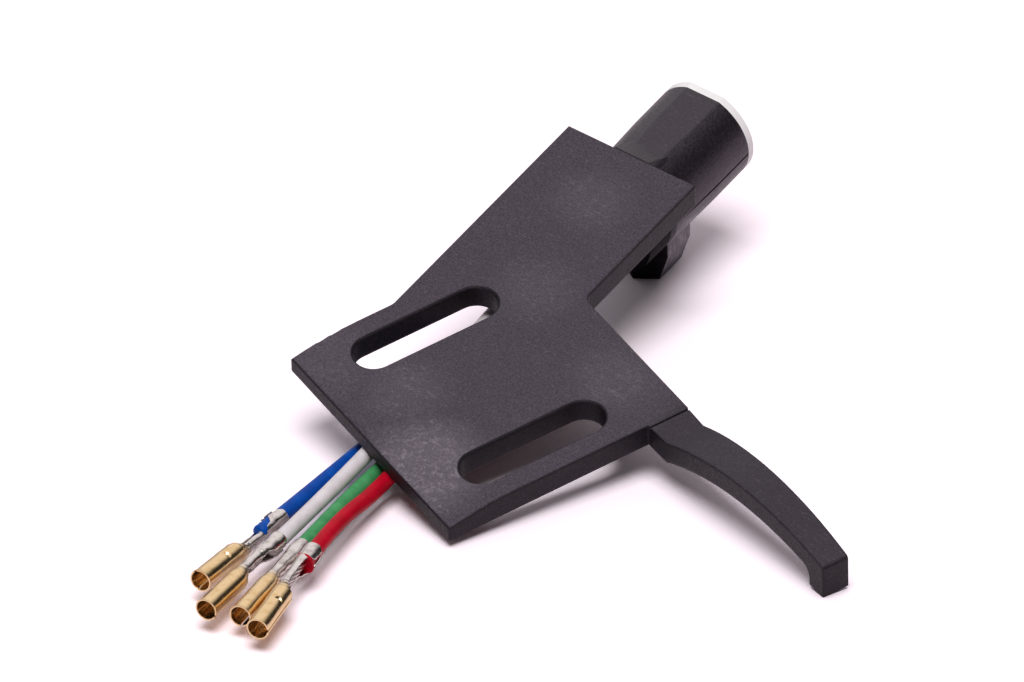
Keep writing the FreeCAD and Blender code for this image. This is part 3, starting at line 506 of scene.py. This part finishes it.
# black moulding: grained plate and lift with pale scuffs and a painted sheen on top, plain tube, knocked
# stud, painted shade underneath; places in mm
moulding = {
    "body": (0.0110, 0.0082, 0.0112),
    "deep": (0.0080, 0.0060, 0.0082),
    "bodyNoise": (0.35, 4),
    "bodyStep": (0.35, 0.65),
    "tube": (0.0085, 0.0064, 0.0087),
    "tubeStep": (-8.9, -8.6),
    "liftStep": (14.5, 16.5),
    "topStep": (0.72, 0.97),
    # painted sheen: a lighter colour on upward faces, full on the plate and weaker on the lift and the tube
    "paintedTopSheen": (0.0470, 0.0370, 0.0515),
    "paintedTopSheenShare": (1.0, 0.2),  # on the plate, and on the lift and the tube
    "grain": (0.088, 0.073, 0.092),
    "speckNoise": (5.5, 2.5, 0.7),
    "speckStep": (0.52, 0.70),
    "speckShare": (0.3, 0.75),
    "pits": (0.0120, 0.0085, 0.0130),
    "pitNoise": (8.5, 2.0, 0.6),
    "pitStep": (0.52, 0.38),
    "pitDepth": 0.85,
    "scuff": (0.190, 0.165, 0.196),
    "worn": [  # place, where the patch starts to fade, where it ends, how strong it is
        ((0.2, -13.7, 4.49), 0.8, 3.8, 0.42),
        ((2.0, -22.5, 4.49), 0.8, 4.0, 0.36),
        ((0.2, -34.9, 4.49), 0.5, 4.2, 0.5),
        ((5.0, -39.8, 4.3), 1.8, 5.4, 1.35),
        ((11.0, -26.3, 4.49), 0.6, 4.2, 0.5),
        ((-6.0, -35.2, 4.3), 1.0, 5.0, 0.36),
    ],
    "wornNoise": (2.6, 5, 0.75, 0.8),
    "wornStep": (0.44, 0.72),
    "wornShare": (0.26, 0.8),
    "scratches": [  # turn in radians, stretch of the lines, level of the noise where they begin
        (0.35, (0.25, 2.6, 1), 0.51),
        (1.25, (0.3, 2.2, 1), 0.50),
        (2.3, (0.25, 3.0, 1), 0.52),
        (2.8, (0.3, 2.4, 1), 0.52),
    ],
    "lineNoise": (1.0, 1.0, 0.5, 0.1),
    "lineLevel": 0.5,
    "lineWidth": 0.012,
    "runNoise": (1.0, 2),
    "runStretch": (0.8, 0.8, 0.8),
    "runTurn": 1.7,
    "runFade": 0.12,
    "scratchStep": (0.0, 0.6),
    "scratchShare": (0.14, 0.65),
    "chip": (0.260, 0.235, 0.262),
    "chipNoise": (3.0, 5, 0.7),
    "chipStretch": (1, 1, 0.35),
    "chipStep": (0.42, 0.66),
    "chipShare": (0.3, 1.0),
    "studPlace": (2.9, -7.0, -3.7),
    "studReach": (2.4, 3.8),
    "flankStep": (0.3, 0.7),
    # painted shade: a near-black colour under the plate and on the stud's front face, where shade falls,
    # placed by the three steps below
    "paintedShadeColour": (0.004, 0.003, 0.004),
    "underStep": (2.5, 2.7),
    "frontStep": (-0.75, -0.45),
    "shelteredStep": (-9.5, -9.2),
    # painted shade also takes most of the shine away: all of it is kept outside, 0.15 of it inside
    "paintedShadeShine": (1.0, 0.15),
    "grainNoise": (6.5, 2.5, 0.65),
    "grainStep": (0.3, 0.7),
    "grainBump": (0.05, 0.55),
    "waveNoise": (1.0, 2),
    "waveBump": (0.06, 0.35),
    "rough": (0.42, 0.58),
    "tubeSmooth": 0.12,
    "edge": 0.27,
    "edgeSamples": 4,
    "gloss": (1.0, 0.86, 1.0),
    "shine": (0.24, 0.38),  # on upright and on level faces
    "shineStep": (0.3, 0.9),
    "tubeShine": 0.6,
}


def mouldedZones(tree, spec):  # masks of the moulding's regions, by place and by the way a face looks
    where = objectMm(tree)
    place = addNode(tree, "ShaderNodeSeparateXYZ", {0: where}).outputs
    normal = addNode(tree, "ShaderNodeNewGeometry").outputs["Normal"]
    facing = addNode(tree, "ShaderNodeSeparateXYZ", {0: normal}).outputs
    under = fading(tree, place["Z"], *spec["underStep"])
    front = fading(tree, facing["Y"], *spec["frontStep"])
    sheltered = fading(tree, place["Y"], *spec["shelteredStep"])
    return {
        "where": where,
        "up": facing["Z"],
        "top": between(tree, facing["Z"], *spec["topStep"]),
        "tube": between(tree, place["Y"], *spec["tubeStep"]),
        "lift": between(tree, place["X"], *spec["liftStep"]),
        "flank": between(tree, facing["X"], *spec["flankStep"]),
        # painted shade mask: faces below the plate that lie in front of the stud's rear or face forward
        "paintedShade": product(tree, under, largest(tree, [sheltered, front])),
    }


def grainedColour(tree, zone, spec):  # body colour with a painted sheen that lightens upward faces, pale specks and dark pits
    where = zone["where"]
    cloud = between(tree, noise(tree, where, *spec["bodyNoise"]), *spec["bodyStep"])
    colour = blendColour(tree, cloud, spec["deep"], spec["body"])
    cleaner = largest(tree, [zone["lift"], zone["tube"]])
    # painted sheen: upward faces lighter, as the light falls on them
    paintedTopSheen = product(tree, zone["top"], spread(tree, cleaner, *spec["paintedTopSheenShare"]))
    colour = blendColour(tree, paintedTopSheen, colour, spec["paintedTopSheen"])
    colour = blendColour(tree, zone["tube"], colour, spec["tube"])
    speck = between(tree, noise(tree, where, *spec["speckNoise"]), *spec["speckStep"])
    speck = product(tree, speck, spread(tree, paintedTopSheen, *spec["speckShare"]))
    colour = blendColour(tree, speck, colour, spec["grain"])
    pit = between(tree, noise(tree, where, *spec["pitNoise"]), *spec["pitStep"])
    return blendColour(tree, product(tree, pit, spec["pitDepth"]), colour, spec["pits"])


def scratchMask(tree, spec, angle, stretch, rarity):  # thin lines along one direction, in short runs
    along = objectMm(tree, (0, 0, angle), stretch)
    field = noise(tree, along, *spec["lineNoise"])
    line = maths(tree, "ABSOLUTE", maths(tree, "SUBTRACT", field, spec["lineLevel"]))
    thin = fading(tree, line, 0.0, spec["lineWidth"])
    runs = objectMm(tree, (0, 0, angle * spec["runTurn"]), spec["runStretch"])
    rare = between(tree, noise(tree, runs, *spec["runNoise"]), rarity, rarity + spec["runFade"])
    return product(tree, thin, rare)


def scuffedColour(tree, zone, colour, spec):  # worn patches and scratches on the upper faces
    where = zone["where"]
    patches = []
    for place, near, far, amount in spec["worn"]:
        patches.append(product(tree, nearPlace(tree, where, place, near, far), amount))
    worn = product(tree, largest(tree, patches), zone["top"])
    spotty = between(tree, noise(tree, where, *spec["wornNoise"]), *spec["wornStep"])
    spotty = product(tree, worn, spread(tree, spotty, *spec["wornShare"]))
    colour = blendColour(tree, spotty, colour, spec["scuff"])
    lines = largest(tree, [scratchMask(tree, spec, *scratch) for scratch in spec["scratches"]])
    reach = between(tree, worn, *spec["scratchStep"], *spec["scratchShare"])
    lines = product(tree, product(tree, lines, reach), zone["top"])
    return blendColour(tree, lines, colour, spec["scuff"])


def knockedColour(tree, zone, colour, spec):  # pale knocks on the right flanks of the stud
    chips = noise(tree, objectMm(tree, stretch=spec["chipStretch"]), *spec["chipNoise"])
    near = nearPlace(tree, zone["where"], spec["studPlace"], *spec["studReach"])
    knock = product(tree, near, zone["flank"])
    knock = product(tree, knock, between(tree, chips, *spec["chipStep"], *spec["chipShare"]))
    return blendColour(tree, knock, colour, spec["chip"])


def mouldedPlastic(spec):
    material, tree, shader = startMaterial("mouldedPlastic")
    zone = mouldedZones(tree, spec)
    colour = grainedColour(tree, zone, spec)
    colour = scuffedColour(tree, zone, colour, spec)
    colour = knockedColour(tree, zone, colour, spec)
    # painted shade: darkens the underside and the stud's front face
    colour = blendColour(tree, zone["paintedShade"], colour, spec["paintedShadeColour"])
    grain = noise(tree, zone["where"], *spec["grainNoise"])
    wave = noise(tree, zone["where"], *spec["waveNoise"])
    rough = between(tree, grain, *spec["grainStep"], *spec["rough"])
    rough = maths(tree, "SUBTRACT", rough, product(tree, zone["tube"], spec["tubeSmooth"]))
    radius = {"Radius": spec["edge"] * mm}
    rounded = addNode(tree, "ShaderNodeBevel", radius, samples=spec["edgeSamples"]).outputs[0]
    normal = bumped(tree, wave, *spec["waveBump"], rounded)
    normal = bumped(tree, grain, *spec["grainBump"], normal)
    shine = between(tree, zone["up"], *spec["shineStep"], *spec["shine"])
    shine = blendValue(tree, zone["tube"], shine, spec["tubeShine"])
    # less shine where shade is painted
    shine = product(tree, shine, spread(tree, zone["paintedShade"], *spec["paintedShadeShine"]))
    feed(tree, shader, Base_Color=colour, Roughness=rough, Normal=normal, Specular_IOR_Level=shine)
    shader.inputs["Specular Tint"].default_value = (*spec["gloss"], 1)
    return material


# soft covers of the leads, in the two shades that each lead has
softCover = {
    "cloudNoise": (0.9, 3),
    "cloudStep": (0.3, 0.7),
    "cloudBump": (0.03, 0.5),
    "fineNoise": (9.0, 2),
    "fineStep": (0.3, 0.7),
    "fineBump": (0.01, 0.3),
    "rough": (0.40, 0.55),
    "shine": 0.16,
}


def wireCover(name, shades, spec):
    material, tree, shader = startMaterial("cover_" + name)
    where = objectMm(tree)
    cloud = noise(tree, where, *spec["cloudNoise"])
    fine = noise(tree, where, *spec["fineNoise"])
    colour = blendColour(tree, between(tree, cloud, *spec["cloudStep"]), shades["deep"], shades["colour"])
    rough = between(tree, fine, *spec["fineStep"], *spec["rough"])
    normal = bumped(tree, fine, *spec["fineBump"])
    normal = bumped(tree, cloud, *spec["cloudBump"], normal)
    feed(tree, shader, Base_Color=colour, Roughness=rough, Normal=normal)
    shader.inputs["Specular IOR Level"].default_value = spec["shine"]
    return material


# white terminal insert
insert = {
    "body": (0.95, 0.93, 0.93),
    "shade": (0.89, 0.86, 0.86),
    "cloudNoise": (0.7, 3),
    "cloudStep": (0.35, 0.7),
    "cloudBump": (0.03, 0.3),
    "fineNoise": (6.0, 2),
    "fineStep": (0.3, 0.7),
    "rough": (0.35, 0.5),
}


def insertPlastic(spec):
    material, tree, shader = startMaterial("insertPlastic")
    where = objectMm(tree)
    cloud = noise(tree, where, *spec["cloudNoise"])
    fine = noise(tree, where, *spec["fineNoise"])
    colour = blendColour(tree, between(tree, cloud, *spec["cloudStep"]), spec["body"], spec["shade"])
    rough = between(tree, fine, *spec["fineStep"], *spec["rough"])
    feed(tree, shader, Base_Color=colour, Roughness=rough, Normal=bumped(tree, cloud, *spec["cloudBump"]))
    return material


# plated metals: gold pins, tinned strands, and clips whose gold barrel fades into tinned crimps
plating = {
    "gold": (0.87, 0.63, 0.35),
    "goldWorn": (0.74, 0.50, 0.24),
    "goldDents": 0.07,
    "tin": (0.76, 0.70, 0.67),
    "tinWorn": (0.50, 0.44, 0.41),
    "tinDents": 0.5,
    "cloudNoise": (1.6, 4),
    "cloudStep": (0.42, 0.75),
    "fineNoise": (6.0, 4, 0.7),
    "fineStep": (0.3, 0.7),
    "fineBump": (0.006, 0.3),
    "dentNoise": (2.2, 2),
    "dentDepth": 0.05,
    "polished": (0.12, 0.26),
    "dull": (0.25, 0.45),
}


def platedMetal(name, metals, polish, spec):  # the mesh's tinShare tells how much there is of a second metal
    material, tree, shader = startMaterial(name)
    where = objectMm(tree)
    cloud = between(tree, noise(tree, where, *spec["cloudNoise"]), *spec["cloudStep"])
    fine = noise(tree, where, *spec["fineNoise"])
    shades = [blendColour(tree, cloud, spec[metal], spec[metal + "Worn"]) for metal in metals]
    dents = [spec[metal + "Dents"] for metal in metals]
    colour, dent = shades[0], dents[0]
    if len(metals) > 1:
        share = addNode(tree, "ShaderNodeAttribute", attribute_name="tinShare").outputs["Fac"]
        colour = blendColour(tree, share, *shades)
        dent = spread(tree, share, *dents)
    normal = bumped(tree, noise(tree, where, *spec["dentNoise"]), spec["dentDepth"], dent)
    normal = bumped(tree, fine, *spec["fineBump"], normal)
    rough = between(tree, fine, *spec["fineStep"], *polish)
    feed(tree, shader, Base_Color=colour, Roughness=rough, Normal=normal)
    shader.inputs["Metallic"].default_value = 1.0
    return material


finishes = {
    "moulding": mouldedPlastic(moulding),
    "insert": insertPlastic(insert),
    "gold": platedMetal("goldPlate", ["gold"], plating["polished"], plating),
    "strand": platedMetal("strandPlate", ["tin"], plating["dull"], plating),
    "clip": platedMetal("clipPlate", ["gold", "tin"], plating["polished"], plating),
}


def dress(item, finish):
    item.data.materials.clear()
    item.data.materials.append(finish)


dress(nodes["headshell_body"], finishes["moulding"])
dress(nodes["terminal_block"], finishes["insert"])
for name, spec in leads.items():
    finishes[name] = wireCover(name, spec, softCover)
    dress(wires[name], finishes[name])
    dress(coverEnds[name], finishes[name])
    dress(clips[name], finishes["clip"])
    dress(bundles[name], finishes["strand"])
    dress(nodes["contact_pin_" + name], finishes["gold"])
print("finishes made:", len(finishes))

# table under the part, in mm: it touches the stud and the lift's tip and passes just below the near corner
table = {
    "studFoot": (0.0, -8.93, -6.87),
    "nearCorner": (9.47, -43.11, 2.15),
    "liftTip": (33.4, -35.34, 4.72),
    "half": 400,
    "colour": (0.86, 0.765, 0.825),
    "cloudGain": 0.985,
    "cloudNoise": (0.02, 2),
    "mirrorGain": 1.15,
    "seenGain": 1.6,
    "rough": 0.7,
    "shine": 0.2,
}


def gained(colour, gain):
    return tuple(value * gain for value in colour)


def seenDirectly(tree, path):  # 1 for what the camera sees, also through clear pieces
    return maths(tree, "MAXIMUM", path["Is Camera Ray"], path["Is Transmission Ray"])


def tableFinish(spec):  # paler to the camera and in reflections than as a source of bounced light
    material, tree, shader = startMaterial("tableFinish")
    plain = spec["colour"]
    cloud = noise(tree, objectMm(tree), *spec["cloudNoise"])
    path = addNode(tree, "ShaderNodeLightPath").outputs
    colour = blendColour(tree, cloud, plain, gained(plain, spec["cloudGain"]))
    colour = blendColour(tree, path["Is Glossy Ray"], colour, gained(plain, spec["mirrorGain"]))
    colour = blendColour(tree, seenDirectly(tree, path), colour, gained(plain, spec["seenGain"]))
    feed(tree, shader, Base_Color=colour)
    shader.inputs["Roughness"].default_value = spec["rough"]
    shader.inputs["Specular IOR Level"].default_value = spec["shine"]
    clear = addNode(tree, "ShaderNodeBsdfTransparent")
    below = addNode(tree, "ShaderNodeNewGeometry").outputs["Backfacing"]
    oneSided = addNode(tree, "ShaderNodeMixShader", {0: below, 1: shader.outputs[0], 2: clear.outputs[0]})
    tree.links.new(oneSided.outputs[0], tree.nodes["Material Output"].inputs["Surface"])
    return material


def layTable(spec):
    foot, corner, tip = (Vector(spec[key]) for key in ("studFoot", "nearCorner", "liftTip"))
    normal = (corner - foot).cross(tip - foot).normalized()
    shape = bmesh.new()
    bmesh.ops.create_grid(shape, x_segments=1, y_segments=1, size=spec["half"] * mm)
    turn = normal.to_track_quat("Z", "Y").to_matrix().to_4x4()
    middle = (foot + corner + tip) / 3
    bmesh.ops.transform(shape, matrix=Matrix.Translation(middle * mm) @ turn, verts=shape.verts)
    mesh = bpy.data.meshes.new("tableTop")
    shape.to_mesh(mesh)
    shape.free()
    top = bpy.data.objects.new("tableTop", mesh)
    bpy.context.scene.collection.objects.link(top)
    mesh.materials.append(tableFinish(spec))
    return normal


tableNormal = layTable(table)
print("table laid, tilt", round(math.degrees(tableNormal.angle(Vector((0, 0, 1)))), 1))

# soft lamp: place in mm from the camera's aim, size in mm, power in watts
mainLamp = {"place": (60, -125, 1390), "size": 900, "power": 16.0, "colour": (1.0, 0.99, 0.99)}
# pale backdrop behind and to the left, dark on the other side: facing is the cosine between a direction
# and the backdrop's middle; strength is what surfaces are lit by, shown what they mirror and seen what
# the camera sees
room = {
    "backdrop": (-0.55, 0.60, 0.58),
    "facing": (0.50, 0.90),
    "strength": (0.11, 0.48),
    "shown": (0.03, 0.95),
    "seen": 1.0,
    "colour": (1.0, 0.97, 0.98),
}


def hangLamp(name, spec):
    data = bpy.data.lights.new(name, "AREA")
    data.shape = "DISK"
    data.size = spec["size"] * mm
    data.energy = spec["power"]
    data.color = spec["colour"]
    lamp = bpy.data.objects.new(name, data)
    lamp.location = (Vector(shot["aim"]) + Vector(spec["place"])) * mm
    lamp.rotation_mode = "QUATERNION"
    lamp.rotation_quaternion = Vector(spec["place"]).to_track_quat("Z", "Y")
    bpy.context.scene.collection.objects.link(lamp)


def lightRoom(spec):
    world = bpy.data.worlds.new("paleRoom")
    bpy.context.scene.world = world
    world.use_nodes = True
    tree = world.node_tree
    ground = tree.nodes["Background"]
    ground.inputs["Color"].default_value = (*spec["colour"], 1)
    toward = addNode(tree, "ShaderNodeTexCoord").outputs["Generated"]
    inputs = {0: toward, 1: Vector(spec["backdrop"]).normalized()}
    facing = addNode(tree, "ShaderNodeVectorMath", inputs, operation="DOT_PRODUCT").outputs["Value"]
    lit = between(tree, facing, *spec["facing"], *spec["strength"])
    shown = between(tree, facing, *spec["facing"], *spec["shown"])
    path = addNode(tree, "ShaderNodeLightPath").outputs
    level = blendValue(tree, path["Is Glossy Ray"], lit, shown)
    level = blendValue(tree, seenDirectly(tree, path), level, spec["seen"])
    tree.links.new(level, ground.inputs["Strength"])


hangLamp("mainLamp", mainLamp)
lightRoom(room)
bpy.context.scene.view_settings.view_transform = "Standard"
print("light set: lamp and room")

bpy.context.view_layer.update()
